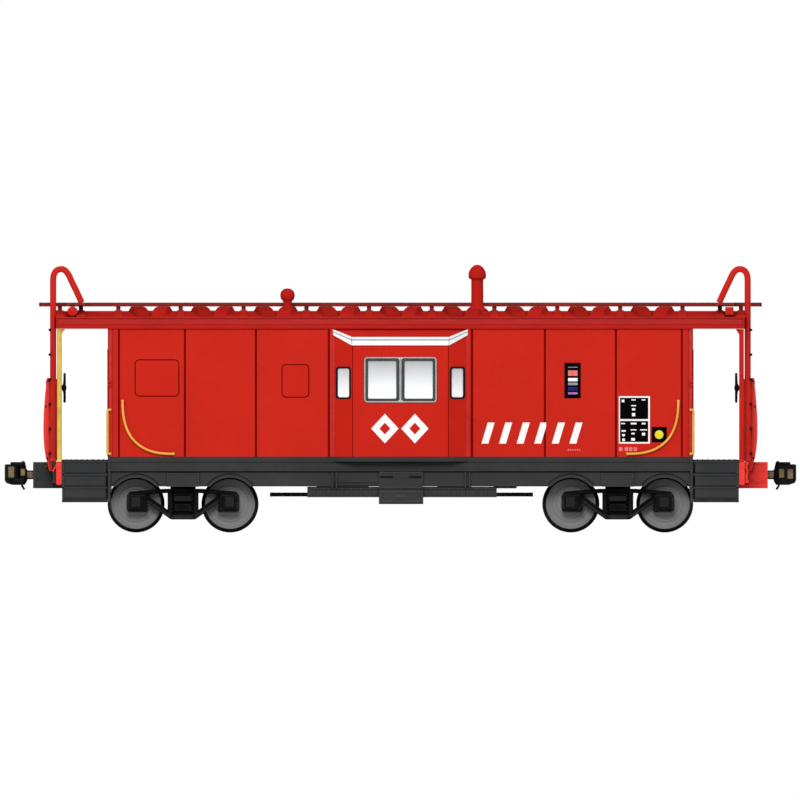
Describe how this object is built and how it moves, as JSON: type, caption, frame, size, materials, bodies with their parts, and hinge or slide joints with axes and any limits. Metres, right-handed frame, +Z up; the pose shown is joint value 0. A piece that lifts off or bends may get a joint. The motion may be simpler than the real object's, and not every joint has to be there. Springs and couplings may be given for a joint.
{
  "type": "model railway caboose",
  "caption": "HO-scale bay-window caboose with hollow red body, end platforms and steps, swivelling trucks with spinning wheelsets and sprung knuckle couplers.",
  "frame": {"origin": "on the plane of the wheel flange bottoms, under the middle of the car", "axes": "+X along the track towards end b, +Y to the far side, +Z up"},
  "size_m": [0.1504, 0.038, 0.0509],
  "materials": {
    "body_red": "satin",
    "board_maroon": "satin",
    "frame_grey": "matte",
    "truck_black": "matte",
    "brake_black": "matte",
    "wheel_metal": "satin, blackened rim",
    "axle_steel": "turned",
    "screw_steel": "blackened",
    "pin_steel": "satin",
    "weight_steel": "mill",
    "coupler_bronze": "chemically darkened",
    "spring_bronze": "bright",
    "yellow_paint": "satin",
    "clear_plastic": "clear"
  },
  "bodies": {
    "carbody": {"air_reservoir": "frame_grey", "ballast_weight": "weight_steel", "bay_glazing_far": "clear_plastic", "bay_glazing_near": "clear_plastic", "body_shell": "body_red", "brake_gear": "frame_grey", "brake_wheel_a": "brake_black", "brake_wheel_b": "brake_black", "centring_spring_a": "spring_bronze", "centring_spring_b": "spring_bronze", "corner_post_a_far": "body_red", "corner_post_a_near": "yellow_paint", "corner_post_b_far": "yellow_paint", "corner_post_b_near": "body_red", "end_door_a": "body_red", "end_door_b": "body_red", "end_ladder_a": "body_red", "end_ladder_b": "body_red", "end_railing_a": "body_red", "end_railing_b": "body_red", "equipment_box": "frame_grey", "grab_corner_a_far": "yellow_paint", "grab_corner_a_near": "yellow_paint", "grab_corner_b_far": "yellow_paint", "grab_corner_b_near": "yellow_paint", "grab_curve_a_far": "yellow_paint", "grab_curve_a_near": "yellow_paint", "grab_curve_b_far": "yellow_paint", "grab_curve_b_near": "yellow_paint", "lid_screw_a": "screw_steel", "lid_screw_b": "screw_steel", "pocket_lid_a": "frame_grey", "pocket_lid_b": "frame_grey", "roof": "body_red", "roof_vent": "body_red", "running_board": "board_maroon", "smoke_jack": "body_red", "truck_screw_a": "screw_steel", "truck_screw_b": "screw_steel", "underframe": "frame_grey"},
    "truck_a": {"truck_frame_a": "truck_black"},
    "wheelset_1": {"axle_1": "axle_steel", "wheel_1_near": "wheel_metal", "wheel_1_far": "wheel_metal"},
    "wheelset_2": {"axle_2": "axle_steel", "wheel_2_near": "wheel_metal", "wheel_2_far": "wheel_metal"},
    "coupler_a_body": {"coupler_a": "coupler_bronze", "trip_pin_a": "pin_steel"},
    "knuckle_a_body": {"knuckle_a": "coupler_bronze"},
    "truck_b": {"truck_frame_b": "truck_black"},
    "wheelset_3": {"axle_3": "axle_steel", "wheel_3_near": "wheel_metal", "wheel_3_far": "wheel_metal"},
    "wheelset_4": {"axle_4": "axle_steel", "wheel_4_near": "wheel_metal", "wheel_4_far": "wheel_metal"},
    "coupler_b_body": {"coupler_b": "coupler_bronze", "trip_pin_b": "pin_steel"},
    "knuckle_b_body": {"knuckle_b": "coupler_bronze"}
  },
  "joints": [
    {"name": "truck_a_swivel", "type": "hinge", "parent": "carbody", "child": "truck_a", "pos_m": [-0.0413, 0, 0.0088], "axis": [0, 0, 1], "range_deg": [-12, 12]},
    {"name": "wheelset_1_spin", "type": "hinge", "parent": "truck_a", "child": "wheelset_1", "pos_m": [-0.05022, 0, 0.00543], "axis": [0, 1, 0], "continuous": true},
    {"name": "wheelset_2_spin", "type": "hinge", "parent": "truck_a", "child": "wheelset_2", "pos_m": [-0.03238, 0, 0.00543], "axis": [0, 1, 0], "continuous": true},
    {"name": "coupler_a_swing", "type": "hinge", "parent": "carbody", "child": "coupler_a_body", "pos_m": [-0.0652, 0, 0.0112], "axis": [0, 0, 1], "range_deg": [-12, 12], "stiffness_Nm_per_rad": 0.0005},
    {"name": "knuckle_a_open", "type": "hinge", "parent": "coupler_a_body", "child": "knuckle_a_body", "pos_m": [-0.0732, -0.0014, 0.01155], "axis": [0, 0, 1], "range_deg": [0, 35], "stiffness_Nm_per_rad": 0.0002, "springref_deg": -17.19},
    {"name": "truck_b_swivel", "type": "hinge", "parent": "carbody", "child": "truck_b", "pos_m": [0.0413, 0, 0.0088], "axis": [0, 0, 1], "range_deg": [-12, 12]},
    {"name": "wheelset_3_spin", "type": "hinge", "parent": "truck_b", "child": "wheelset_3", "pos_m": [0.03238, 0, 0.00543], "axis": [0, 1, 0], "continuous": true},
    {"name": "wheelset_4_spin", "type": "hinge", "parent": "truck_b", "child": "wheelset_4", "pos_m": [0.05022, 0, 0.00543], "axis": [0, 1, 0], "continuous": true},
    {"name": "coupler_b_swing", "type": "hinge", "parent": "carbody", "child": "coupler_b_body", "pos_m": [0.0652, 0, 0.0112], "axis": [0, 0, 1], "range_deg": [-12, 12], "stiffness_Nm_per_rad": 0.0005},
    {"name": "knuckle_b_open", "type": "hinge", "parent": "coupler_b_body", "child": "knuckle_b_body", "pos_m": [0.0732, 0.0014, 0.01155], "axis": [0, 0, 1], "range_deg": [0, 35], "stiffness_Nm_per_rad": 0.0002, "springref_deg": -17.19}
  ]
}
